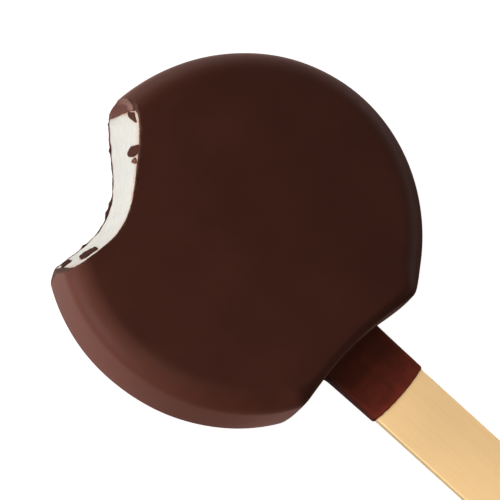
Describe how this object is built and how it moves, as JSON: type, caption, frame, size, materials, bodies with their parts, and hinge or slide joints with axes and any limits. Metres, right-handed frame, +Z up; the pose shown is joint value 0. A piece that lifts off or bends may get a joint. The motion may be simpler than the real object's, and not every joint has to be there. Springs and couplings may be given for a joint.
{
  "type": "ice cream bar",
  "caption": "Round ice cream bar in a thin dark chocolate coat on a flat wooden stick, with one bite taken out that shows the white filling with dark chips.",
  "frame": {"origin": "middle of the bar's flat back, which is the face it rests on", "axes": "+Z up out of the bar's front face, +Y towards the bar's round tip and away from the stick, +X across the bar"},
  "size_m": [0.076, 0.1186, 0.022],
  "materials": {
    "chocolate": "satin",
    "ice_cream": "matt",
    "wood": "plain unvarnished"
  },
  "bodies": {
    "root": {"chocolate_coat": "chocolate", "ice_cream": "ice_cream", "stick": "wood"}
  },
  "joints": []
}
